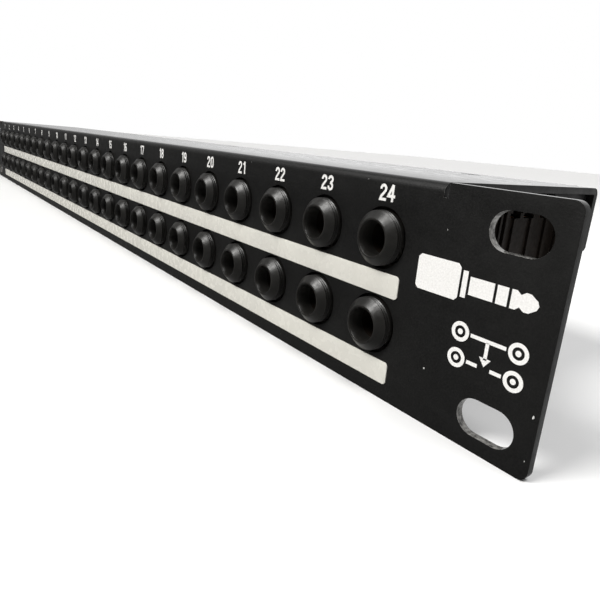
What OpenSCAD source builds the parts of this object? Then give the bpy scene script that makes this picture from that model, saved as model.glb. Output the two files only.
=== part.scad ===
// Audio patch bay, one rack unit high. Two rows of 6.35 mm three-pole sockets on the front
// and two on the rear, joined in pairs by one upright circuit card per column.
// Millimetres. +X is to the right seen from the front, +Y to the back, +Z up.
// The origin is on the front face of the panel, at the centre of the four rack slots.

/* [Front panel] */
// Width over both rack ears
panel_w = 482.6; // [480:0.1:486]
// Height of the front face
panel_h = 44; // [43.6:0.1:44.4]
// Thickness of the folded steel sheet
sheet_t = 1.5; // [1:0.1:1.6]
// Radius of the four ear corners
ear_corner_r = 1.8; // [1:0.1:4]
// Depth of the folded top plate behind the front face
plate_depth = 56; // [55.5:0.5:62]
// Half width of the folded part, between the relief notches
fold_half_w = 217.5; // [216:0.5:218]
// Drop of the two end tabs behind the top plate
tab_drop = 15.4; // [8:0.2:20]

/* [Rack slots] */
// Distance between the slots across the panel
slot_spacing_x = 465.1; // [464:0.1:466]
// Distance between the slots up the panel
slot_spacing_z = 31.75; // [31:0.05:32.5]
// Length of a slot
slot_len = 10.7; // [9:0.1:12]
// Height of a slot
slot_h = 6.6; // [6:0.1:7.6]

/* [Sockets] */
// Number of columns of sockets
columns = 24; // [2:1:24]
// Distance between two columns
pitch = 17.78; // [17.7:0.01:17.8]
// Height of the upper row above the middle of the panel
upper_z = 9.9; // [9.5:0.1:10]
// Height of the lower row, below the middle of the panel
lower_z = -7.5; // [-7.8:0.1:-7.2]
// How far a front nose stands out of the panel
front_nose = 2.8; // [2.6:0.1:3.1]
// How far a rear nose stands out of the rear panel
rear_nose = 6.4; // [6:0.1:7]
// Radius of the bore that guides a plug
bore_r = 3.25; // [3.2:0.01:3.3]
// Radius of the threaded nose
nose_r = 5.35; // [5.2:0.05:5.5]

/* [Contacts] */
// Width of one leaf spring
leaf_w = 3.2; // [2.4:0.1:3.4]
// Height of a leaf's section
leaf_t = 0.5; // [0.4:0.05:0.6]
// How far a leaf dips into the space of a plug
dip = 0.9; // [0.6:0.05:1]

/* [Labels] */
// Half length of the two writing strips
strip_half_l = 210.4; // [200:0.1:211]
// Thickness of a writing strip
strip_t = 0.25; // [0.1:0.05:0.4]

/* [Hidden] */
$fn = 48;
eps = 0.01;
cut = 1;
bend_r = 1.8;
notch_w = 1;
notch_depth = 2.6;
tab_inner_x = 213;
tab_corner_r = 1.5;
fold_gap = 0.2;
top_z = panel_h / 2;
under_z = top_z - sheet_t;
rear_out = plate_depth - sheet_t - fold_gap;
rear_in = rear_out - sheet_t;
rear_half_w = fold_half_w - 1.5;
flange_depth = 14.6;
front_hole_r = nose_r + 0.7;
rear_hole_r = nose_r + 0.25;

// Writing strips: lower and upper edges of the two strips
strip_edges = [[-1.15, 3.45], [-18.7, -14.1]];
strip_end_r = 0.8;

// Sockets, measured along s, the depth from the mouth of the nose
plug_len = 30.5;
end_gap = 0.2;
end_wall = 0.4;
housing_end = plug_len + end_gap + end_wall;
mouth_r = 3.5;
mouth_depth = 0.9;
nose_root = 1;
thread_root_r = nose_r - 0.3;
front_tip = [[3.85, 0], [thread_root_r - eps, 1.15]];
rear_tip = [[4.6, 0], [thread_root_r - eps, 0.45]];
front_thread = [1.15, 0.58, 3];
rear_thread = [0.5, 0.6, 5];
bore_end_depth = 4.7;
housing_left = -7.6;
housing_right = 7.4;
housing_top = 7.4;
housing_bottom = -7.2;
cavity_half = 3.7;
ledge_z = 2.4;
wall_top_z = 4.4;
window_right = 6.2;
window_clear = 0.4;
recess_depth = 0.5;
recess_half_h = 5.6;
rib_s = [14, 20.4, 27.3];
rib_t = 1.4;
ring_s = 21.6;
tip_s = 27;
sleeve_after_bore = 2.3;

// Leaf springs: each turns about its rolled root
root_x = -6.3;
root_z = 5.6;
root_r = 0.8;
plug_r = 3.175;
touch_z = plug_r - dip;
leaf_end_x = 5.6;
leaf_end_z = 4.3;
bow_half = 2.2;
bow_start_z = 5;
dip_half = 0.5;
rest_gap = 0.08;

// Terminals and the circuit card
card_t = 1.6;
card_left = housing_left - card_t;
tail_left = card_left - 0.8;
tail_w = 1.2;
tail_t = 0.5;
tail_clear = 0.1;
tail_hole_r = 0.75;
blade_x = [5.7, 6.1];
blade_pad_x = 4.1;
foot_z = -5.7;
card_edge = 1.8;
card_over = 8.7;
card_under = 9.5;
card_top = upper_z + card_over;
card_bottom = lower_z - card_under;

// Nuts, washers and screws
nut_af = 14;
nut_t = 2.2;
nut_bore_r = nose_r + 0.1;
nut_chamfer = 0.7;
washer_t = 0.5;
washer_r = 8;
screw_x = [-188, -63, 63, 188];
screw_y = rear_out - 6;
screw_head_r = 2.6;
screw_r = 1.45;
screw_hole_r = 1.5;
screw_seat_gap = 0.05;
screw_len = 4;
recess_w = 0.7;
recess_l = 2.6;
recess_d = 0.6;

function two(i) = str(i < 10 ? "0" : "", i);
function column_x(i) = (i - (columns + 1) / 2) * pitch;
function sleeve_s(body_s) = body_s + bore_end_depth + sleeve_after_bore;
front_body_s = front_nose + sheet_t;
rear_body_s = rear_nose + sheet_t;
rear_mouth_y = rear_out + rear_nose;
rows = [["upper", upper_z], ["lower", lower_z]];

moving = [for (r = rows, i = [1:columns]) str("front_", r[0], "_contact_springs_", two(i))];

// ---- helpers ----

// A box from one corner to the other
module block(a, b) {
    translate(a) cube(b - a);
}

// Stands a shape that was drawn about Z along +Y
module along_y() {
    rotate([-90, 0, 0]) children();
}

// Extrudes a Y-Z outline along X
module along_x(x0, x1) {
    translate([x0, 0, 0]) rotate([90, 0, 90]) linear_extrude(x1 - x0) children();
}

// Puts a shape, drawn from a mouth inwards along +Y, at one front socket
module at_front(i, z) {
    translate([column_x(i), -front_nose, z]) children();
}

// The same at one rear socket, where the depth runs towards the front
module at_rear(i, z) {
    translate([column_x(i), rear_mouth_y, z]) mirror([0, 1, 0]) children();
}

module each_socket() {
    for (i = [1:columns], r = rows) {
        $i = i;
        $z = r[1];
        children();
    }
}

// A quarter of a bent sheet, centred on its bend, in the quadrant that turn picks
module bend(centre, turn) {
    translate(centre) rotate(turn) intersection() {
        difference() {
            circle(bend_r);
            circle(bend_r - sheet_t);
        }
        square(bend_r + cut);
    }
}

// ---- steel ----

module face_outline() {
    half = [panel_w / 2 - ear_corner_r, panel_h / 2 - ear_corner_r];
    union() {
        square([panel_w, 2 * half[1]], center = true);
        square([2 * half[0], panel_h], center = true);
        for (sx = [-1, 1], sz = [-1, 1])
            translate([sx * half[0], sz * half[1]]) circle(ear_corner_r);
    }
}

module rack_slot() {
    half = (slot_len - slot_h) / 2;
    union() {
        square([2 * half, slot_h], center = true);
        for (sx = [-1, 1]) translate([sx * half, 0]) circle(slot_h / 2);
    }
}

// The face with its ears, cut back where the top plate is folded from it
module face() {
    translate([0, sheet_t, 0]) rotate([90, 0, 0]) linear_extrude(sheet_t) difference() {
        face_outline();
        translate([-fold_half_w - notch_w, top_z - bend_r])
            square([2 * (fold_half_w + notch_w), bend_r + cut]);
        for (sx = [-1, 1])
            translate([sx * (fold_half_w + notch_w / 2), top_z])
                square([notch_w, 2 * notch_depth], center = true);
        for (sx = [-1, 1], sz = [-1, 1])
            translate([sx * slot_spacing_x / 2, sz * slot_spacing_z / 2]) rack_slot();
    }
}

// The top plate: its front bend, the flat, and a tab folded down at each rear corner
module top_plate() {
    back = plate_depth - bend_r;
    union() {
        along_x(-fold_half_w, fold_half_w) union() {
            bend([bend_r, top_z - bend_r], 90);
            translate([bend_r - eps, under_z]) square([back - bend_r + eps, sheet_t]);
        }
        block([-tab_inner_x + notch_w / 2, back - eps, under_z],
              [tab_inner_x - notch_w / 2, plate_depth, top_z]);
        for (sx = [-1, 1]) scale_side(sx) {
            along_x(tab_inner_x, fold_half_w) bend([back, top_z - bend_r], 0);
            tab(tab_inner_x, fold_half_w);
        }
    }
}

// Draws its children on the right, or mirrored to the left
module scale_side(side) {
    if (side > 0) children();
    else mirror([1, 0, 0]) children();
}

// The upright part of an end tab, with rounded lower corners
module tab(x0, x1) {
    low = top_z - tab_drop;
    translate([0, plate_depth, 0]) rotate([90, 0, 0]) linear_extrude(sheet_t) union() {
        translate([x0, low + tab_corner_r])
            square([x1 - x0, top_z - bend_r - low - tab_corner_r + eps]);
        translate([x0 + tab_corner_r, low]) square([x1 - x0 - 2 * tab_corner_r, tab_drop / 2]);
        for (x = [x0 + tab_corner_r, x1 - tab_corner_r])
            translate([x, low + tab_corner_r]) circle(tab_corner_r);
    }
}

module front_panel() color([0.1, 0.1, 0.11]) difference() {
    union() {
        face();
        top_plate();
    }
    each_socket() translate([column_x($i), -cut, $z])
        along_y() cylinder(r = front_hole_r, h = sheet_t + 2 * cut);
    for (x = screw_x) translate([x, screw_y, under_z - eps])
        cylinder(r1 = screw_hole_r + screw_seat_gap, r2 = screw_head_r + screw_seat_gap,
                 h = sheet_t + 2 * eps);
}

// The wall that carries the rear sockets, with one flange under the top plate and one below
module rear_panel() color([0.16, 0.16, 0.17]) difference() {
    along_x(-rear_half_w, rear_half_w) union() {
        mid = rear_out - bend_r;
        bend([mid, under_z - bend_r], 0);
        bend([mid, -top_z + bend_r], -90);
        translate([rear_in, -top_z + bend_r - eps])
            square([sheet_t, under_z + top_z - 2 * bend_r + 2 * eps]);
        translate([rear_out - flange_depth, under_z - sheet_t])
            square([flange_depth - bend_r + eps, sheet_t]);
        translate([rear_out - flange_depth, -top_z])
            square([flange_depth - bend_r + eps, sheet_t]);
    }
    each_socket() translate([column_x($i), rear_in - cut, $z])
        along_y() cylinder(r = rear_hole_r, h = sheet_t + 2 * cut);
    for (x = screw_x) translate([x, screw_y, under_z - sheet_t - cut])
        cylinder(r = screw_hole_r, h = sheet_t + 2 * cut);
}

module top_plate_screws() color([0.2, 0.2, 0.21])
    for (x = screw_x) translate([x, screw_y, top_z]) difference() {
        union() {
            translate([0, 0, -sheet_t])
                cylinder(r1 = screw_hole_r, r2 = screw_head_r, h = sheet_t);
            translate([0, 0, -screw_len]) cylinder(r = screw_r, h = screw_len - sheet_t / 2);
        }
        for (a = [0, 90]) rotate(a) cube([recess_l, recess_w, 2 * recess_d], center = true);
    }

// ---- writing strips ----

module label_strips() color([0.93, 0.92, 0.89])
    for (e = strip_edges) rotate([90, 0, 0]) linear_extrude(strip_t) union() {
        half = strip_half_l - strip_end_r;
        translate([-half, e[0]]) square([2 * half, e[1] - e[0]]);
        for (sx = [-1, 1]) {
            translate([sx * (half + strip_end_r / 2) - strip_end_r / 2, e[0] + strip_end_r])
                square([strip_end_r, e[1] - e[0] - 2 * strip_end_r]);
            for (z = [e[0] + strip_end_r, e[1] - strip_end_r])
                translate([sx * half, z]) circle(strip_end_r);
        }
    }

// ---- sockets ----

// The turned outline of a nose: a tapered tip, some threads, then plain down to the housing.
// thread is where the threads start, their pitch and how many there are
module nose(tip, thread, end_s) {
    crests = [for (k = [0:thread[2] - 1]) each [
        [thread_root_r, thread[0] + k * thread[1]],
        [nose_r, thread[0] + (k + 0.5) * thread[1]]]];
    along_y() rotate_extrude() polygon(concat(
        [[0, 0]], tip, crests,
        [[nose_r, end_s], [0, end_s]]));
}

// A moulded socket: block, nose, plug bore, cavity, three spring windows, side recesses
module housing(body_s, tip, thread) {
    bore_end = body_s + bore_end_depth;
    difference() {
        union() {
            block([housing_left, body_s, housing_bottom],
                  [housing_right, housing_end, housing_top]);
            nose(tip, thread, body_s + nose_root);
        }
        translate([0, -eps, 0]) along_y()
            cylinder(r1 = mouth_r, r2 = bore_r, h = mouth_depth + eps);
        translate([0, mouth_depth - eps, 0]) along_y()
            cylinder(r = bore_r, h = bore_end - mouth_depth + 2 * eps);
        block([-cavity_half, bore_end, -cavity_half],
              [cavity_half, housing_end - end_wall, cavity_half]);
        for (s = [sleeve_s(body_s), ring_s, tip_s]) window(s);
        for (s = [ring_s, tip_s]) blade_slot(s);
        side_recesses(body_s);
    }
}

// The opening across the top over one leaf spring, with a ledge inside the far wall
module window(s) {
    a = s - leaf_w / 2 - window_clear;
    b = s + leaf_w / 2 + window_clear;
    over = housing_top + cut;
    block([housing_left - cut, a, wall_top_z], [housing_right + cut, b, over]);
    block([-cavity_half, a, 0], [cavity_half, b, over]);
    block([cavity_half - eps, a, ledge_z], [window_right, b, over]);
}

// The groove that holds a normalling contact, down the far wall and under the floor
module blade_slot(s) {
    half = tail_w / 2 + tail_clear;
    block([blade_x[0] - tail_clear, s - half, housing_bottom - cut],
          [blade_x[1] + tail_clear, s + half, ledge_z + eps]);
    block([housing_left - cut, s - half, housing_bottom - cut],
          [blade_x[1] + tail_clear, s + half, foot_z + tail_t + tail_clear]);
}

// Shallow panels between the upright ribs of the far side
module side_recesses(body_s) {
    starts = concat([body_s + rib_t], [for (s = rib_s) s + rib_t / 2]);
    ends = concat([for (s = rib_s) s - rib_t / 2], [housing_end - rib_t / 2]);
    for (k = [0:len(starts) - 1])
        block([housing_right - recess_depth, starts[k], -recess_half_h],
              [housing_right + cut, ends[k], recess_half_h]);
}

module front_jack_housings() color([0.13, 0.13, 0.14])
    each_socket() at_front($i, $z) housing(front_body_s, front_tip, front_thread);

module rear_jack_housings() color([0.13, 0.13, 0.14])
    each_socket() at_rear($i, $z) housing(rear_body_s, rear_tip, rear_thread);

module rear_jack_washers() color([0.62, 0.62, 0.63])
    each_socket() translate([column_x($i), rear_out, $z]) along_y() difference() {
        cylinder(r = washer_r, h = washer_t);
        translate([0, 0, -cut]) cylinder(r = rear_hole_r, h = washer_t + 2 * cut);
    }

module rear_jack_nuts() color([0.7, 0.7, 0.71])
    each_socket() translate([column_x($i), rear_out + washer_t, $z]) along_y() difference() {
        corner_r = nut_af / 2 / cos(30);
        intersection() {
            cylinder(r = corner_r, h = nut_t, $fn = 6);
            cylinder(r1 = corner_r + nut_t - nut_chamfer / 2,
                     r2 = corner_r - nut_chamfer / 2, h = nut_t);
        }
        translate([0, 0, -cut]) cylinder(r = nut_bore_r, h = nut_t + 2 * cut);
    }

// ---- contacts ----

// One leaf: a rolled root, a bow that dips to the plug, and a flat end
module leaf(s) {
    line = [[root_x, root_z + root_r - leaf_t / 2], [-bow_half, bow_start_z],
            [-dip_half, touch_z + leaf_t / 2], [dip_half, touch_z + leaf_t / 2],
            [bow_half, leaf_end_z], [leaf_end_x, leaf_end_z]];
    up = [0, leaf_t / 2];
    translate([0, s + leaf_w / 2, 0]) rotate([90, 0, 0]) union() {
        linear_extrude(leaf_w) polygon(concat(
            [for (p = line) p + up],
            [for (k = [len(line) - 1:-1:0]) line[k] - up]));
        translate([root_x, root_z, 0]) cylinder(r = root_r, h = leaf_w);
    }
}

module springs(body_s) {
    for (s = [sleeve_s(body_s), ring_s, tip_s]) leaf(s);
}

module front_springs(i, z) color([0.72, 0.5, 0.3]) at_front(i, z) springs(front_body_s);

module rear_contact_springs() color([0.72, 0.5, 0.3])
    each_socket() at_rear($i, $z) springs(rear_body_s);

// The fixed contact under a leaf's end: a pad, an upright blade and a foot to the card
module normalling_contact(s) {
    a = s - tail_w / 2;
    b = s + tail_w / 2;
    pad_top = leaf_end_z - leaf_t / 2 - rest_gap;
    union() {
        block([blade_pad_x, a, pad_top - tail_t], [blade_x[1], b, pad_top]);
        block([blade_x[0], a, foot_z], [blade_x[1], b, pad_top]);
        block([tail_left, a, foot_z], [blade_x[1], b, foot_z + tail_t]);
    }
}

module normalling_contacts() color([0.78, 0.62, 0.36])
    each_socket() at_front($i, $z) for (s = [ring_s, tip_s]) normalling_contact(s);

// The pin that carries one leaf's root through the card
module terminal(s) {
    block([tail_left, s - tail_w / 2, root_z - tail_t / 2],
          [root_x - root_r - rest_gap, s + tail_w / 2, root_z + tail_t / 2]);
}

module solder_terminals() color([0.75, 0.75, 0.72]) each_socket() {
    at_front($i, $z) for (s = [sleeve_s(front_body_s), ring_s, tip_s]) terminal(s);
    at_rear($i, $z) for (s = [sleeve_s(rear_body_s), ring_s, tip_s]) terminal(s);
}

// ---- circuit cards ----

// The round hole in a card for one tail whose middle is at height z
module tail_hole(s, z) {
    translate([card_left - cut, s, z]) rotate([0, 90, 0])
        cylinder(r = tail_hole_r, h = card_t + 2 * cut);
}

module circuit_cards() color([0.42, 0.26, 0.13]) for (i = [1:columns]) difference() {
    block([column_x(i) + card_left, sheet_t + card_edge, card_bottom],
          [column_x(i) + housing_left, rear_in - card_edge, card_top]);
    for (r = rows) {
        at_front(i, r[1]) {
            for (s = [sleeve_s(front_body_s), ring_s, tip_s]) tail_hole(s, root_z);
            for (s = [ring_s, tip_s]) tail_hole(s, foot_z + tail_t / 2);
        }
        at_rear(i, r[1])
            for (s = [sleeve_s(rear_body_s), ring_s, tip_s]) tail_hole(s, root_z);
    }
}

// ---- the assembly ----

front_panel();
rear_panel();
label_strips();
front_jack_housings();
rear_jack_housings();
circuit_cards();
rear_contact_springs();
normalling_contacts();
solder_terminals();
rear_jack_washers();
rear_jack_nuts();
top_plate_screws();
for (r = rows, i = [1:columns])
    front_springs(i, r[1]);
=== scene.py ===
import math
import random

import bmesh
import bpy
from mathutils import Matrix, Vector


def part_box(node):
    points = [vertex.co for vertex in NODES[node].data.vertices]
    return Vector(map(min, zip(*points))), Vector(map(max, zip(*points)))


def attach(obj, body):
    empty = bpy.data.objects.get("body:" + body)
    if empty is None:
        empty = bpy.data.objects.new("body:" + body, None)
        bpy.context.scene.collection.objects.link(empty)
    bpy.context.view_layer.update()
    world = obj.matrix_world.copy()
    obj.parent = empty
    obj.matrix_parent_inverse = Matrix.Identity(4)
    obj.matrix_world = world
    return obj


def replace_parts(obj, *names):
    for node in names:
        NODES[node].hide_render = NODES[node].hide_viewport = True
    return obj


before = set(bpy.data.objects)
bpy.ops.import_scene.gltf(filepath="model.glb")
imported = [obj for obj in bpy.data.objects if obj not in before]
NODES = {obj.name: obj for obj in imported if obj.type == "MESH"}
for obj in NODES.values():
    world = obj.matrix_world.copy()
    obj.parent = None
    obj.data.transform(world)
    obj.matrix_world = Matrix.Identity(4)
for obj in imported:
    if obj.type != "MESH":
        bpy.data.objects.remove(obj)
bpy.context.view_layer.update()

SCENE = bpy.context.scene
MM = 0.001
CHASSIS = "chassis"

# ---------------------------------------------------------------- sizes, mm
COLUMNS = 24
PITCH = 17.78
ROWS = {"upper": 9.9, "lower": -7.5}
TOP_Z = 22.0
PLATE_DEPTH = 56.0
FOLD_GAP = 0.2
REAR_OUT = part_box("rear_panel")[1].y / MM
SHEET = PLATE_DEPTH - FOLD_GAP - REAR_OUT
FRONT_NOSE = 2.8
REAR_NOSE = 6.4
REAR_MOUTH = REAR_OUT + REAR_NOSE
SLOT_X, SLOT_Z = 232.55, 15.875
SLOT_LEN, SLOT_H = 10.7, 6.6


def column_x(i):
    return (i - (COLUMNS + 1) / 2) * PITCH


SOCKETS = [(column_x(i), z) for z in ROWS.values() for i in range(1, COLUMNS + 1)]


# ---------------------------------------------------------------- materials
def new_node(tree, kind, **values):
    """A shader node whose sockets and settings are given by name."""
    n = tree.nodes.new(kind)
    for k, v in values.items():
        if k in n.inputs:
            n.inputs[k].default_value = v
        else:
            setattr(n, k, v)
    return n


class Mat:
    """A node material with object coordinates in millimetres."""

    def __init__(self, name, color=(0.5, 0.5, 0.5), rough=0.5, metal=0.0, spec=0.5):
        self.mat = bpy.data.materials.new(name)
        self.mat.use_nodes = True
        self.tree = self.mat.node_tree
        self.shader = self.tree.nodes["Principled BSDF"]
        self.set("Base Color", (*color, 1))
        self.set("Roughness", rough)
        self.set("Metallic", metal)
        self.set("Specular IOR Level", spec)
        self.coord = None

    def set(self, socket, value):
        self.shader.inputs[socket].default_value = value

    def node(self, kind, **values):
        return new_node(self.tree, kind, **values)

    def link(self, a, b):
        self.tree.links.new(a, b)

    def mm(self):
        """Object coordinates, one unit to the millimetre."""
        if self.coord is None:
            tc = self.node("ShaderNodeTexCoord")
            sc = self.node("ShaderNodeVectorMath", operation="SCALE")
            sc.inputs["Scale"].default_value = 1000.0
            self.link(tc.outputs["Object"], sc.inputs[0])
            self.coord = sc.outputs["Vector"]
        return self.coord

    def stretched(self, x, y, z):
        m = self.node("ShaderNodeVectorMath", operation="MULTIPLY")
        m.inputs[1].default_value = (x, y, z)
        self.link(self.mm(), m.inputs[0])
        return m.outputs["Vector"]

    def noise(self, scale, detail=2.0, rough=0.5, vector=None):
        n = self.node("ShaderNodeTexNoise", Scale=scale, Detail=detail, Roughness=rough)
        self.link(vector or self.mm(), n.inputs["Vector"])
        return n.outputs["Fac"]

    def voronoi(self, scale):
        n = self.node("ShaderNodeTexVoronoi", Scale=scale)
        self.link(self.mm(), n.inputs["Vector"])
        return n.outputs["Distance"]

    def ramp(self, fac, *stops):
        """stops: (position, value or colour)"""
        r = self.node("ShaderNodeValToRGB")
        e = r.color_ramp.elements
        while len(e) < len(stops):
            e.new(0.5)
        for el, (p, c) in zip(e, stops):
            el.position = p
            el.color = (c, c, c, 1) if isinstance(c, (int, float)) else (*c, 1)
        self.link(fac, r.inputs["Fac"])
        return r.outputs["Color"]

    def between(self, fac, lo, hi, from_lo=0.3, from_hi=0.7):
        m = self.node("ShaderNodeMapRange")
        for k, v in zip(("From Min", "From Max", "To Min", "To Max"), (from_lo, from_hi, lo, hi)):
            m.inputs[k].default_value = v
        self.link(fac, m.inputs["Value"])
        return m.outputs["Result"]

    def math(self, op, a, b):
        m = self.node("ShaderNodeMath", operation=op)
        for k, v in enumerate((a, b)):
            if isinstance(v, (int, float)):
                m.inputs[k].default_value = v
            else:
                self.link(v, m.inputs[k])
        return m.outputs["Value"]

    def mix(self, fac, a, b):
        m = self.node("ShaderNodeMix", data_type="RGBA")
        for sock, v in ((0, fac), (6, a), (7, b)):
            if isinstance(v, tuple):
                m.inputs[sock].default_value = (*v, 1)
            elif isinstance(v, (int, float)):
                m.inputs[sock].default_value = v
            else:
                self.link(v, m.inputs[sock])
        return m.outputs[2]

    def to(self, socket, value):
        self.link(value, self.shader.inputs[socket])

    def bump(self, height, strength, distance_mm):
        b = self.node("ShaderNodeBump", Strength=strength, Distance=distance_mm * MM)
        old = self.shader.inputs["Normal"].links
        if old:
            self.link(old[0].from_socket, b.inputs["Normal"])
        self.link(height, b.inputs["Height"])
        self.link(b.outputs["Normal"], self.shader.inputs["Normal"])

    def facing_up(self):
        g = self.node("ShaderNodeNewGeometry")
        parts = self.node("ShaderNodeSeparateXYZ")
        self.link(g.outputs["Normal"], parts.inputs[0])
        return parts.outputs["Z"]

    def attribute(self, name):
        a = self.node("ShaderNodeAttribute", attribute_name=name)
        return a.outputs["Fac"]


def powder_coat(name, base, lift, grain=2.2, strength=0.8):
    """Fine-textured satin black paint: soft pebbling, light specks, and pale faces where the mesh's
    per-face value says so, partly rubbed paint and partly a painted highlight on edges facing the light."""
    m = Mat(name, base, 0.5, 0.0, 0.3)
    pebble = m.noise(grain, 3.0, 0.6)
    broad = m.noise(0.035, 3.0, 0.55)
    specks = m.ramp(m.voronoi(0.8), (0.0, 1.0), (0.05, 0.0))
    dust = m.ramp(m.noise(0.5, 2.0), (0.58, 0.0), (0.7, 1.0))
    tone = m.mix(m.between(pebble, 0.0, 1.0, 0.35, 0.75), base, lift)
    tone = m.mix(m.between(broad, 0.0, 0.5), tone, tuple(c * 1.3 for c in lift))
    dusty = m.math("MULTIPLY", m.math("MULTIPLY", specks, dust), 0.3)
    tone = m.mix(dusty, tone, (0.12, 0.12, 0.12))
    # pale colour on the faces the mesh marks: rubbed paint plus a painted highlight on the slots' lower
    # rims and the ears' top edges
    wear_and_highlight = m.attribute("wear_and_highlight")
    patchy = m.ramp(m.noise(1.3, 4.0, 0.65), (0.34, 0.15), (0.62, 1.0))
    worn_and_lit = m.math("MULTIPLY", wear_and_highlight, patchy)
    tone = m.mix(worn_and_lit, tone, (0.5, 0.49, 0.47))
    m.to("Base Color", tone)
    # the flat upper side of the folded sheet has been rubbed smooth
    top = m.between(m.facing_up(), 0.0, 1.0, 0.6, 0.95)
    rough = m.between(m.noise(0.4, 3.0), 0.44, 0.56)
    rough = m.math("SUBTRACT", rough, m.math("MULTIPLY", top, 0.38))
    rough = m.math("SUBTRACT", rough, m.math("MULTIPLY", wear_and_highlight, 0.2))
    m.to("Roughness", rough)
    textured = m.math("SUBTRACT", 1.0, m.math("MULTIPLY", top, 0.93))
    m.bump(m.math("MULTIPLY", pebble, textured), strength, 0.05)
    return m.mat


def moulded_plastic(name, base, rough, spec):
    """Black moulding with a faint skin and uneven gloss."""
    m = Mat(name, base, rough, 0.0, spec)
    fine = m.noise(5.0, 3.0, 0.6)
    broad = m.noise(0.25, 3.0)
    m.to("Base Color", m.mix(m.between(broad, 0.0, 1.0), base, tuple(c * 1.5 for c in base)))
    m.to("Roughness", m.between(m.noise(1.2, 3.0), rough - 0.05, rough + 0.09))
    m.bump(fine, 0.18, 0.02)
    return m.mat


def writing_film(name):
    """Off-white film to write on, lightly smudged and rubbed."""
    m = Mat(name, (0.84, 0.83, 0.79), 0.24, 0.0, 0.5)
    smudge = m.noise(0.07, 1.0, 0.4, m.stretched(1.0, 1.0, 0.3))
    tone = m.mix(m.between(smudge, 0.0, 0.5), (0.68, 0.665, 0.605), (0.59, 0.58, 0.535))
    rubbed = m.ramp(m.noise(1.1, 4.0, 0.6), (0.62, 0.0), (0.8, 1.0))
    tone = m.mix(m.math("MULTIPLY", rubbed, 0.04), tone, (0.45, 0.45, 0.43))
    m.to("Base Color", tone)
    m.to("Roughness", m.between(m.noise(0.5, 4.0), 0.18, 0.34))
    m.bump(m.noise(0.9, 2.0), 0.03, 0.01)
    return m.mat


def printed_ink(name):
    """White screen-printed ink, a little thin in places."""
    m = Mat(name, (0.83, 0.82, 0.8), 0.5, 0.0, 0.4)
    thin = m.between(m.noise(3.2, 3.0), 0.0, 1.0)
    m.to("Base Color", m.mix(thin, (0.86, 0.85, 0.83), (0.72, 0.71, 0.69)))
    m.bump(m.noise(2.6, 3.0), 0.3, 0.03)
    return m.mat


ROLLED = (1.0, 6.0, 1.0)
EVEN = (1.0, 1.0, 1.0)


def rolled_metal(name, light, dark, rough, metal=1.0, stretch=ROLLED):
    """Metal with faint lines, which stretch draws out along the rolling direction."""
    m = Mat(name, light, rough, metal)
    lines = m.noise(2.0, 4.0, 0.6, m.stretched(*stretch))
    stain = m.noise(0.5, 3.0)
    tone = m.mix(m.between(stain, 0.0, 0.8), light, dark)
    m.to("Base Color", tone)
    m.to("Roughness", m.between(lines, rough - 0.07, rough + 0.12))
    m.bump(lines, 0.12, 0.02)
    return m.mat


def card_board(name):
    """Brown laminate with a fine weave and a clear sheen."""
    m = Mat(name, (0.16, 0.085, 0.035), 0.42)
    weave = m.node("ShaderNodeTexChecker", Scale=1.0)
    m.link(m.stretched(1.3, 1.3, 1.3), weave.inputs["Vector"])
    stain = m.noise(0.2, 3.0)
    tone = m.mix(m.between(stain, 0.0, 1.0), (0.20, 0.115, 0.05), (0.13, 0.07, 0.03))
    tone = m.mix(m.math("MULTIPLY", weave.outputs["Fac"], 0.12), tone, (0.3, 0.19, 0.09))
    m.to("Base Color", tone)
    m.to("Roughness", m.between(stain, 0.34, 0.5))
    m.bump(weave.outputs["Fac"], 0.1, 0.02)
    return m.mat


def paper_floor(name):
    """Plain pale studio paper."""
    m = Mat(name, (0.93, 0.93, 0.93), 0.75, 0.0, 0.2)
    cloud = m.between(m.noise(0.02, 2.0), 0.0, 1.0)
    m.to("Base Color", m.mix(cloud, (0.945, 0.945, 0.945), (0.925, 0.925, 0.925)))
    return m.mat


PAINT = powder_coat("panel_powder_coat", (0.0042, 0.0042, 0.0042), (0.0095, 0.0093, 0.0088))
CHASSIS_PAINT = powder_coat("chassis_paint", (0.007, 0.007, 0.0072), (0.015, 0.015, 0.0152), 1.8, 0.5)
PLASTIC = moulded_plastic("socket_plastic", (0.011, 0.0105, 0.0095), 0.33, 0.42)
DARK_PLASTIC = moulded_plastic("socket_plastic_dull", (0.011, 0.008, 0.006), 0.55, 0.15)
FILM = writing_film("writing_film")
WHITE_INK = printed_ink("printed_ink")
BRONZE = rolled_metal("spring_bronze", (0.62, 0.36, 0.2), (0.42, 0.21, 0.11), 0.28)
BRASS = rolled_metal("contact_brass", (0.72, 0.52, 0.25), (0.5, 0.33, 0.15), 0.3)
TIN = rolled_metal("tinned_pin", (0.66, 0.66, 0.64), (0.42, 0.42, 0.4), 0.34)
SOLDER = rolled_metal("solder", (0.72, 0.72, 0.7), (0.5, 0.5, 0.49), 0.25, stretch=EVEN)
NICKEL = rolled_metal("nut_nickel", (0.6, 0.58, 0.54), (0.42, 0.4, 0.37), 0.24)
ZINC = rolled_metal("washer_zinc", (0.55, 0.56, 0.57), (0.36, 0.37, 0.38), 0.35)
OXIDE = rolled_metal("screw_black_oxide", (0.03, 0.03, 0.03), (0.015, 0.015, 0.016), 0.36, 0.6)
CARD = card_board("card_laminate")
TRACK = rolled_metal("lacquered_copper", (0.36, 0.17, 0.07), (0.22, 0.11, 0.05), 0.36, 0.75, EVEN)


def dress(node, mat):
    o = NODES[node]
    if not o.material_slots:
        o.data.materials.append(mat)
    for s in o.material_slots:
        s.link = "OBJECT"
        s.material = mat


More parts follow.
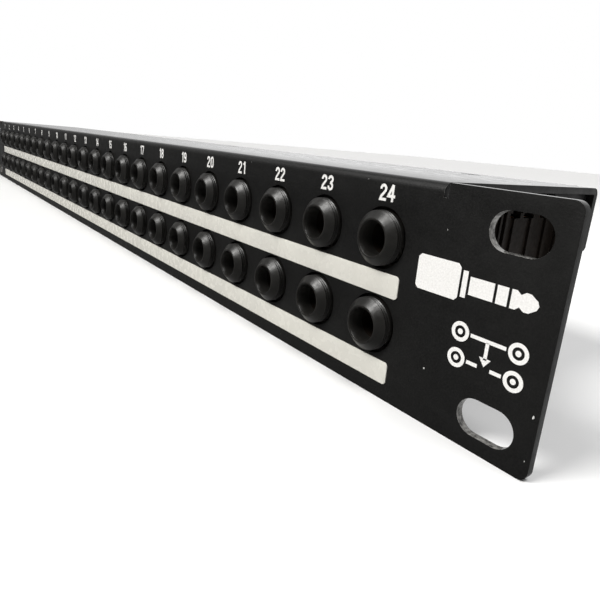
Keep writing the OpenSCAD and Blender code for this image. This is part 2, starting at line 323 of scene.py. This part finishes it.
dress("front_panel", PAINT)
dress("rear_panel", CHASSIS_PAINT)
dress("label_strips", FILM)
dress("front_jack_housings", DARK_PLASTIC)
dress("rear_jack_housings", DARK_PLASTIC)
dress("circuit_cards", CARD)
dress("rear_contact_springs", BRONZE)
dress("normalling_contacts", BRASS)
dress("solder_terminals", TIN)
dress("rear_jack_washers", ZINC)
dress("rear_jack_nuts", NICKEL)
dress("top_plate_screws", OXIDE)
for row in ROWS:
    for i in range(1, COLUMNS + 1):
        dress(f"front_{row}_contact_springs_{i:02d}", BRONZE)


# ---------------------------------------------------------------- mesh helpers
def add_object(name, bm, mat, smooth=None, body=CHASSIS):
    mesh = bpy.data.meshes.new(name)
    bm.to_mesh(mesh)
    bm.free()
    if smooth is not None:
        for p in mesh.polygons:
            p.use_smooth = True
        mesh.set_sharp_from_angle(angle=math.radians(smooth))
    o = bpy.data.objects.new(name, mesh)
    SCENE.collection.objects.link(o)
    o.data.materials.append(mat)
    if body:
        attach(o, body)
    return o


WELD = 0.002
FLAT_ANGLE, SHARP_ANGLE, SMOOTH_ANGLE = 0.6, 32, 40
NARROW = 0.3


def bevelled(node, name, mat, width, segments=2, wear_and_highlight=None):
    """A copy of a CAD node with its sharp edges rounded, which stands for the node. The last argument maps
    the place of a bevel's face, known by being narrow, or of a slot's wall to rubbed paint and painted
    highlight."""
    bm = bmesh.new()
    bm.from_mesh(NODES[node].data)
    bmesh.ops.remove_doubles(bm, verts=bm.verts, dist=WELD * MM)
    bmesh.ops.dissolve_limit(
        bm, angle_limit=math.radians(FLAT_ANGLE), verts=bm.verts, edges=bm.edges, delimit={"NORMAL"}
    )
    bmesh.ops.recalc_face_normals(bm, faces=bm.faces)
    limit = math.radians(SHARP_ANGLE)
    sharp = [e for e in bm.edges if len(e.link_faces) == 2 and e.calc_face_angle(0) > limit]
    bmesh.ops.bevel(
        bm, geom=sharp, offset=width * MM, offset_type="OFFSET", segments=segments,
        profile=0.6, affect="EDGES", clamp_overlap=True, harden_normals=False,
    )
    # the per-face value is rubbed paint together with a painted highlight on faces that turn up to the
    # light
    if wear_and_highlight:
        layer = bm.faces.layers.float.new("wear_and_highlight")
        for f in bm.faces:
            longest = max(e.calc_length() for e in f.edges)
            at = f.calc_center_median() / MM
            is_wall = in_a_slot(at) and abs(f.normal.y) < 0.5
            if f.calc_area() / longest < NARROW * MM or is_wall:
                f[layer] = wear_and_highlight(at)
    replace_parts(add_object(name, bm, mat, SMOOTH_ANGLE), node)


def lathe(bm, profile, place, turns=40, close=False):
    """Turns (radius, depth) points about an axis; place maps (across, depth, up) to the frame."""
    rings = []
    for r, s in profile:
        ring = []
        for k in range(turns):
            a = 2 * math.pi * k / turns
            ring.append(bm.verts.new(place(r * math.cos(a), s, r * math.sin(a))))
        rings.append(ring)
    for a, b in zip(rings, rings[1:]):
        for k in range(turns):
            n = (k + 1) % turns
            bm.faces.new((a[k], a[n], b[n], b[k]))
    if close:
        bm.faces.new(rings[-1])


# ---------------------------------------------------------------- steel panels
RIM = 0.45
NOTCH_INNER, NOTCH_OUTER, NOTCH_FLOOR = 216.0, 219.5, 18.0


def panel_wear(p):
    """How pale the paint is painted on the slots' lower rims, the ears' top edges and the relief notches:
    rubbed paint together with a painted highlight where these faces turn up to the light.
    """
    for sx in (-1, 1):
        for sz in (-1, 1):
            dx, dz = p.x - sx * SLOT_X, p.z - sz * SLOT_Z
            r = math.hypot(max(abs(dx) - (SLOT_LEN - SLOT_H) / 2, 0), dz)
            if abs(r - SLOT_H / 2) < RIM and p.y < SHEET - 0.2:
                # the lower-left part of the rim and wall faces up towards the lamps and gets the most:
                # painted highlight over rubbed paint
                low = (-dz - 0.6 * dx) / SLOT_H
                rim = 1.0 if p.y < 0.4 else 0.6
                return rim if low > 0.1 else 0.35 * rim if low > -0.2 else 0.0
    # the ears' top edges and the notches: rubbed paint with a painted highlight
    if abs(p.x) > NOTCH_OUTER and p.z > TOP_Z - 0.5 and p.y < 0.5:
        return 0.5
    if NOTCH_INNER < abs(p.x) < NOTCH_OUTER and p.z > NOTCH_FLOOR and p.y < 0.8:
        return 0.4
    return 0.0


def in_a_slot(p):
    dx, dz = abs(abs(p.x) - SLOT_X), abs(abs(p.z) - SLOT_Z)
    return dx < SLOT_LEN / 2 + 0.4 and dz < SLOT_H / 2 + 0.4


bevelled("front_panel", "folded_front_panel", PAINT, 0.26, 3, panel_wear)
bevelled("rear_panel", "folded_rear_panel", CHASSIS_PAINT, 0.16)
bevelled("rear_jack_nuts", "rear_hex_nuts", NICKEL, 0.12)
bevelled("label_strips", "writing_strips", FILM, 0.07)


# ---------------------------------------------------------------- socket noses
def threads(start, pitch, count, crest, root):
    """Ridges with a narrow flat crest and steep flanks."""
    out = []
    for k in range(count):
        s = start + k * pitch
        out += [(root, s), (crest, s + pitch * 0.4), (crest, s + pitch * 0.6)]
    return out


# (radius, depth) a hair outside the CAD noses, with a rounded lip and crisp thread crests
CREST, ROOT = 5.38, 5.08
LIP = [(3.22, 3.4), (3.22, 0.94), (3.3, 0.62), (3.4, 0.3), (3.46, 0.08), (3.52, -0.01), (3.58, -0.04)]
FRONT_PROFILE = (
    LIP + [(3.76, -0.04), (3.87, -0.01), (3.97, 0.06), (5.0, 1.06), (ROOT, 1.12)]
    + threads(1.14, 0.58, 3, CREST, ROOT)[:-1]
    + [(CREST, 3.4)]
)
REAR_PROFILE = (
    LIP + [(4.5, -0.04), (4.72, 0.04), (4.92, 0.2), (5.03, 0.36)]
    + threads(0.49, 0.6, 5, CREST, ROOT)[:-1]
    + [(CREST, 6.6)]
)


def socket_noses(name, profile, depth_to_y, turns):
    bm = bmesh.new()
    for x, z in SOCKETS:
        lathe(bm, profile, lambda a, s, b, x=x, z=z: Vector((x + a, depth_to_y(s), z + b)) * MM, turns)
    bmesh.ops.recalc_face_normals(bm, faces=bm.faces)
    add_object(name, bm, PLASTIC, SHARP_ANGLE)


socket_noses("front_socket_noses", FRONT_PROFILE, lambda s: s - FRONT_NOSE, 48)
socket_noses("rear_socket_noses", REAR_PROFILE, lambda s: REAR_MOUTH - s, 40)


# ---------------------------------------------------------------- print
INK = 0.012
INK_Y = -INK


def flat_shape(bm, outline, x, z, y=INK_Y, thick=INK):
    """A thin printed patch from an outline of (x, z) points in mm, facing the front."""
    front = [bm.verts.new(Vector((x + px, y - thick, z + pz)) * MM) for px, pz in outline]
    back = [bm.verts.new(Vector((x + px, y, z + pz)) * MM) for px, pz in outline]
    bm.faces.new(front)
    bm.faces.new(back[::-1])
    n = len(outline)
    for k in range(n):
        bm.faces.new((front[k], back[k], back[(k + 1) % n], front[(k + 1) % n]))


def disc(r, n=40):
    """The outline of a circle."""
    return [(r * math.cos(2 * math.pi * k / n), r * math.sin(2 * math.pi * k / n)) for k in range(n)]


def ring(bm, cx, cz, inner_r, outer_r):
    inner, outer = (
        [bm.verts.new(Vector((cx + a, INK_Y - INK, cz + b)) * MM) for a, b in disc(r)]
        for r in (inner_r, outer_r)
    )
    n = len(outer)
    for k in range(n):
        bm.faces.new((outer[k], outer[(k + 1) % n], inner[(k + 1) % n], inner[k]))


def bar(bm, x0, z0, x1, z1, w):
    """A printed straight line, w wide, from one point to another."""
    d = Vector((x1 - x0, z1 - z0)).normalized() * (w / 2)
    n = Vector((-d.y, d.x))
    upper = [(x0 + n.x, z0 + n.y), (x1 + n.x, z1 + n.y)]
    lower = [(x1 - n.x, z1 - n.y), (x0 - n.x, z0 - n.y)]
    flat_shape(bm, upper + lower, 0, 0)


def arc(cx, cz, rx, rz, a0, a1, n=10):
    """Points along a part of an ellipse, angles in degrees."""
    return [
        (cx + rx * math.cos(math.radians(a0 + (a1 - a0) * k / n)),
         cz + rz * math.sin(math.radians(a0 + (a1 - a0) * k / n)))
        for k in range(n + 1)
    ]


def mitred(points, width, closed=False):
    """The two sides of a line of constant width along 2-D points, mitred at its corners."""
    n = len(points)
    sides = []
    for k, (px, pz) in enumerate(points):
        before = points[k - 1] if k or closed else points[k]
        after = points[(k + 1) % n] if k < n - 1 or closed else points[k]
        d0 = Vector((px - before[0], pz - before[1]))
        d1 = Vector((after[0] - px, after[1] - pz))
        d0 = d0.normalized() if d0.length > 1e-6 else d1.normalized()
        d1 = d1.normalized() if d1.length > 1e-6 else d0
        d = (d0 + d1).normalized()
        reach = width / 2 / max(d.dot(d0), 0.5)
        sides.append([(px - s * d.y * reach, pz + s * d.x * reach) for s in (-1, 1)])
    return sides


def stroke(bm, points, width, x, z, y, closed=False):
    """A printed line of constant width on the front face."""
    sides = [
        [bm.verts.new(Vector((x + px, y, z + pz)) * MM) for px, pz in pair]
        for pair in mitred(points, width, closed)
    ]
    for a, b in zip(sides, sides[1:] + ([sides[0]] if closed else [])):
        bm.faces.new((a[0], b[0], b[1], a[1]))


# Digits as strokes, in mm, with the lower left corner of each at 0, 0
DIGIT_W, DIGIT_H, PEN = 1.8, 3.2, 0.55
L, R = PEN / 2, DIGIT_W - PEN / 2
B, T = PEN / 2, DIGIT_H - PEN / 2
CX, RX = (L + R) / 2, (R - L) / 2
MID = DIGIT_H / 2
DIGIT_BASE = 16.95


def digit(ch):
    """(stroke points, closed) for each stroke of one digit."""
    if ch == "0":
        over, under = arc(CX, T - 0.62, RX, 0.62, 0, 180), arc(CX, B + 0.62, RX, 0.62, 180, 360)
        return [(over + under, True)]
    if ch == "1":
        return [([(CX - 0.52, T - 0.5), (CX - 0.1, T - 0.28), (CX + 0.2, T + PEN / 2)], False),
                ([(CX + 0.2, 0), (CX + 0.2, DIGIT_H)], False)]
    if ch == "2":
        bow = arc(CX, T - 0.64, RX, 0.64, 190, -38, 14)
        return [(bow + [(L + 0.14, B + 0.5), (L, B), (DIGIT_W, B)], False)]
    if ch == "3":
        waist = (CX - 0.2, MID + 0.03)
        upper_bow = arc(CX, T - 0.56, RX, 0.56, 185, -60, 14)
        lower_bow = arc(CX, B + 0.64, RX, 0.64, 60, -185, 14)
        return [(upper_bow + [(CX + 0.14, MID + 0.06), waist], False),
                ([waist, (CX + 0.18, MID - 0.02)] + lower_bow, False)]
    if ch == "4":
        return [([(CX + 0.3, T + PEN / 2), (L - 0.12, 1.05), (DIGIT_W + 0.1, 1.05)], False),
                ([(CX + 0.34, 0), (CX + 0.34, DIGIT_H)], False)]
    if ch == "5":
        bow = arc(CX, B + 0.74, RX, 0.74, 118, -178, 16)
        return [([(R + 0.12, T), (L + 0.06, T), (L, MID + 0.1)] + bow, False)]
    if ch == "6":
        return [(arc(CX, B + 0.74, RX, 0.74, 0, 360, 18)[:-1], True),
                (arc(CX, T - 0.62, RX, 0.62, 12, 180, 10) + [(L, B + 0.74)], False)]
    if ch == "7":
        return [([(0, T), (R + 0.14, T), (CX - 0.16, 0)], False)]
    if ch == "8":
        return [(arc(CX, T - 0.62, RX - 0.05, 0.62, 0, 360, 18)[:-1], True),
                (arc(CX, B + 0.74, RX, 0.74, 0, 360, 18)[:-1], True)]
    return [(arc(CX, T - 0.74, RX, 0.74, 0, 360, 18)[:-1], True),
            (arc(CX, B + 0.62, RX, 0.62, 192, 360, 10) + [(R, T - 0.74)], False)]


DIGIT_GAP = 0.32
ONE_IS_NARROWER = 0.35
STROKE_STEP = 0.002

bm = bmesh.new()
for i in range(1, COLUMNS + 1):
    digits = str(i)
    advance = [DIGIT_W + DIGIT_GAP - (ONE_IS_NARROWER if ch == "1" else 0.0) for ch in digits]
    at = column_x(i) - (sum(advance) - DIGIT_GAP) / 2
    for ch, step in zip(digits, advance):
        for k, (points, closed) in enumerate(digit(ch)):
            stroke(bm, points, PEN, at, DIGIT_BASE, INK_Y - INK - STROKE_STEP * k, closed)
        at += step
add_object("printed_numbers", bm, WHITE_INK, None)

# A plain legend: a plug's outline, and below it four sockets joined by lines, with an arrow
PLUG_X, PLUG_Z = 214.2, 5.9
GRIP_LEN, GRIP_HALF, GRIP_CORNER = 9.2, 3.2, 0.6
PIN_HALF = 1.55
LEFT_X, RIGHT_X = 225.2, 236.0
NORMAL_Z, BREAK_Z = -2.2, -6.9
LINE, CLEAR = 0.65, 2.1
ARROW_X = 230.6


def block(bm, x0, x1, half):
    """A rectangle of the plug, from x0 to x1 along it."""
    flat_shape(bm, [(x0, -half), (x0, half), (x1, half), (x1, -half)], PLUG_X, PLUG_Z)


bm = bmesh.new()
side = GRIP_HALF - GRIP_CORNER
flat_shape(bm, [(0, -side), (0, side), (GRIP_CORNER, GRIP_HALF), (GRIP_LEN - GRIP_CORNER, GRIP_HALF),
                (GRIP_LEN, side), (GRIP_LEN, -side), (GRIP_LEN - GRIP_CORNER, -GRIP_HALF),
                (GRIP_CORNER, -GRIP_HALF)], PLUG_X, PLUG_Z)
block(bm, 9.7, 10.7, 2.3)
block(bm, 11.2, 15.8, PIN_HALF)
block(bm, 16.3, 18.3, PIN_HALF)
tip = [(18.8, PIN_HALF), (19.7, PIN_HALF), (20.4, 1.0), (21.2, PIN_HALF), (22.0, 1.5), (23.2, 0.7)]
flat_shape(bm, [(18.8, -PIN_HALF)] + tip + [(23.5, 0.0)] + [(x, -z) for x, z in tip[:0:-1]],
           PLUG_X, PLUG_Z)
for cz in (NORMAL_Z, BREAK_Z):
    for cx in (LEFT_X, RIGHT_X):
        ring(bm, cx, cz, 1.05, 1.75)
        flat_shape(bm, disc(0.5, 20), cx, cz)
bar(bm, LEFT_X + CLEAR, NORMAL_Z, RIGHT_X - CLEAR, NORMAL_Z, LINE)
bar(bm, LEFT_X + CLEAR, BREAK_Z, 229.4, BREAK_Z, LINE)
bar(bm, 231.8, BREAK_Z, RIGHT_X - CLEAR, BREAK_Z, LINE)
flat_shape(bm, [(0, 0), (-1.1, 1.5), (1.1, 1.5)], ARROW_X, BREAK_Z + 0.3)
bar(bm, ARROW_X, BREAK_Z + 1.5, ARROW_X, NORMAL_Z - 0.2, LINE)
add_object("printed_pictogram", bm, WHITE_INK, None)

# ---------------------------------------------------------------- circuit cards
CARD_LEFT = -9.2
CARD_LOW = -17.0
ROOT_Z, FOOT_Z = 5.6, -5.45
SLEEVE_AFTER_SHEET, RING_DEPTH, TIP_DEPTH = 7.0, 21.6, 27.0
FRONT_TAILS = (SHEET + SLEEVE_AFTER_SHEET, RING_DEPTH - FRONT_NOSE, TIP_DEPTH - FRONT_NOSE)
REAR_TAILS = (REAR_OUT - SHEET - SLEEVE_AFTER_SHEET, REAR_MOUTH - RING_DEPTH, REAR_MOUTH - TIP_DEPTH)
SOLDER_CONE = [(0.95, 0.0), (0.86, 0.06), (0.7, 0.2), (0.52, 0.42), (0.4, 0.62), (0.3, 0.7)]
SIGNAL, GROUND, LINK = 0.9, 1.6, 0.7


def joints_on_card():
    """(y, z) of each soldered tail on one card."""
    out = []
    for z in ROWS.values():
        out += [(y, z + ROOT_Z) for y in FRONT_TAILS + REAR_TAILS]
        out += [(y, z + FOOT_Z) for y in FRONT_TAILS[1:]]
    return out


def trace(bm, x, points, width, proud=0.05):
    """A copper track on the left face of a card, as a raised band along (y, z) points."""
    pairs = mitred(points, width)
    top = [[bm.verts.new(Vector((x - proud, y, z)) * MM) for y, z in pair] for pair in pairs]
    low = [[bm.verts.new(Vector((x, y, z)) * MM) for y, z in pair] for pair in pairs]
    for k in range(len(pairs) - 1):
        bm.faces.new((top[k][0], top[k + 1][0], top[k + 1][1], top[k][1]))
        for side in (0, 1):
            bm.faces.new((top[k][side], low[k][side], low[k + 1][side], top[k + 1][side]))
    for k in (0, -1):
        bm.faces.new((top[k][0], top[k][1], low[k][1], low[k][0]))


bm = bmesh.new()
tracks = bmesh.new()
up_z, low_z = (z + ROOT_Z for z in ROWS.values())
ground_z = CARD_LOW + 1.6
link_z = ROWS["upper"] + FOOT_Z
for i in range(1, COLUMNS + 1):
    x = column_x(i) + CARD_LEFT
    for y, z in joints_on_card():
        lathe(bm, SOLDER_CONE, lambda a, s, b, x=x, y=y, z=z: Vector((x - s, y + a, z + b)) * MM, 12, True)
    for z in (up_z, low_z):
        trace(tracks, x, [(FRONT_TAILS[2], z), (REAR_TAILS[2], z)], SIGNAL)
        under = z - 2.4
        trace(tracks, x, [(FRONT_TAILS[1], z), (FRONT_TAILS[1], under),
                          (REAR_TAILS[1], under), (REAR_TAILS[1], z)], SIGNAL)
    trace(tracks, x, [(FRONT_TAILS[0], up_z), (FRONT_TAILS[0], ground_z),
                      (REAR_TAILS[0], ground_z), (REAR_TAILS[0], up_z)], GROUND)
    for y in FRONT_TAILS[1:]:
        trace(tracks, x, [(y, link_z), (y - 2.1, link_z - 1.6), (y - 2.1, low_z + 1.4), (y, low_z)], LINK)
for mesh in (bm, tracks):
    bmesh.ops.recalc_face_normals(mesh, faces=mesh.faces)
add_object("solder_joints", bm, SOLDER, 50)
add_object("copper_tracks", tracks, TRACK, None)

# ---------------------------------------------------------------- paint chips
rng = random.Random(7)
SMALL_CHIPS = 26
CORNERS = 7


def small_chip():
    """A place and size at random along the panel's upper or lower edge."""
    x = rng.uniform(-235, 235)
    z = rng.choice([rng.uniform(20, 21.6), rng.uniform(-21.4, -20)])
    return x, z, rng.uniform(0.05, 0.12)


def chip_outline(size):
    a0 = rng.uniform(0, 6.28)
    points = []
    for k in range(CORNERS):
        a = a0 + 2 * math.pi * k / CORNERS
        r = size * rng.uniform(0.35, 1.0)
        points.append((r * math.cos(a) * 0.6, r * math.sin(a) * 1.3))
    return points


# x, z and size: the four that the right-hand ear shows, then small ones
CHIPS = [(219.4, 14.2, 0.16), (219.0, -11.5, 0.3), (240.3, -11.0, 0.34), (240.4, -18.5, 0.14)]
CHIPS += [small_chip() for _ in range(SMALL_CHIPS)]
bm = bmesh.new()
for cx, cz, size in CHIPS:
    flat_shape(bm, chip_outline(size), cx, cz, -0.001, 0.006)
CHIP = Mat("chipped_paint", (0.6, 0.6, 0.58), 0.5)
bare = CHIP.between(CHIP.noise(4.0), 0.0, 1.0)
CHIP.to("Base Color", CHIP.mix(bare, (0.7, 0.7, 0.68), (0.4, 0.4, 0.39)))
add_object("paint_chips", bm, CHIP.mat, None)


# ---------------------------------------------------------------- stage
FLOOR_Z = -TOP_Z - 0.02
FLOOR_CORNERS = [(-4, -3), (4, -3), (4, 5), (-4, 5)]


def floor():
    bm = bmesh.new()
    bm.faces.new([bm.verts.new((x, y, FLOOR_Z * MM)) for x, y in FLOOR_CORNERS])
    o = add_object("floor", bm, paper_floor("floor_paper"), None, None)
    o.visible_glossy = False


floor()

# camera at the photograph's angle: place in metres, angles in degrees, lens in mm on a 36 mm sensor
CAMERA_AT = (0.2755, -0.0753, 0.0264)
TURN, TILT, ROLL = 52.1, -14.6, 5.1
LENS, SENSOR = 31.98, 36
SHIFT_X, SHIFT_Y = 0.00667, -0.03167


def camera():
    turn, tilt, roll = (math.radians(a) for a in (TURN, TILT, ROLL))
    ahead = Vector((-math.sin(turn) * math.cos(tilt), math.cos(turn) * math.cos(tilt), math.sin(tilt)))
    level = Vector((math.cos(turn), math.sin(turn), 0))
    over = level.cross(ahead)
    right = math.cos(roll) * level + math.sin(roll) * over
    up = -math.sin(roll) * level + math.cos(roll) * over
    data = bpy.data.cameras.new("camera")
    data.sensor_fit = "HORIZONTAL"
    data.sensor_width = SENSOR
    data.lens = LENS
    data.shift_x, data.shift_y = SHIFT_X, SHIFT_Y
    data.clip_start, data.clip_end = 0.005, 20
    o = bpy.data.objects.new("camera", data)
    SCENE.collection.objects.link(o)
    turned = Matrix((right, up, -ahead)).transposed().to_4x4()
    o.matrix_world = Matrix.Translation(CAMERA_AT) @ turned
    SCENE.camera = o


camera()


def add_light(name, kind, towards, **settings):
    """A light that shines along the direction towards."""
    data = bpy.data.lights.new(name, kind)
    for k, v in settings.items():
        setattr(data, k, v)
    o = bpy.data.objects.new(name, data)
    o.rotation_mode = "QUATERNION"
    o.rotation_quaternion = Vector(towards).to_track_quat("-Z", "Y")
    SCENE.collection.objects.link(o)
    return o


KEY_SOFTNESS = math.radians(26)
add_light("key_from_the_front", "SUN", (0.22, 0.72, -0.76), energy=2.7, angle=KEY_SOFTNESS,
          color=(1, 0.99, 0.97))
RIM_AT, RIM_AIM = Vector((0.55, -0.02, 0.95)), Vector((0.2, 0.0, 0))
rim = add_light("rim_over_the_right_end", "AREA", RIM_AIM - RIM_AT, energy=5, shape="RECTANGLE",
                size=0.45, size_y=0.45)
rim.location = RIM_AT


def studio_world():
    """A white room, bright at the back and overhead and dim in front and at the right. The
    camera sees plain white, and matt surfaces get about half of the room's light."""
    world = bpy.data.worlds.new("studio")
    world.use_nodes = True
    t = world.node_tree

    def mapped(value, from_min, from_max, to_min, to_max):
        limits = {"From Min": from_min, "From Max": from_max, "To Min": to_min, "To Max": to_max}
        n = new_node(t, "ShaderNodeMapRange", **limits)
        t.links.new(value, n.inputs["Value"])
        return n.outputs["Result"]

    def combined(operation, a, b):
        n = new_node(t, "ShaderNodeMath", operation=operation)
        t.links.new(a, n.inputs[0])
        t.links.new(b, n.inputs[1])
        return n.outputs["Value"]

    towards = new_node(t, "ShaderNodeSeparateXYZ")
    t.links.new(new_node(t, "ShaderNodeTexCoord").outputs["Generated"], towards.inputs[0])
    back = mapped(towards.outputs["Y"], -0.45, 0.6, 0.07, 1.0)
    right = mapped(towards.outputs["X"], 0.1, 0.8, 1.0, 0.35)
    over = mapped(towards.outputs["Z"], 0.35, 1.0, 0.0, 0.55)
    room = combined("MAXIMUM", combined("MULTIPLY", back, right), over)
    ray = new_node(t, "ShaderNodeLightPath")
    fill = mapped(ray.outputs["Is Diffuse Ray"], 0.0, 1.0, 1.0, 0.55)
    strength = new_node(t, "ShaderNodeMix", data_type="FLOAT")
    t.links.new(ray.outputs["Is Camera Ray"], strength.inputs[0])
    t.links.new(combined("MULTIPLY", room, fill), strength.inputs[2])
    strength.inputs[3].default_value = 1.0
    background = t.nodes["Background"]
    background.inputs["Color"].default_value = (1, 1, 1, 1)
    t.links.new(strength.outputs[0], background.inputs["Strength"])
    SCENE.world = world


studio_world()
SCENE.view_settings.view_transform = "Standard"
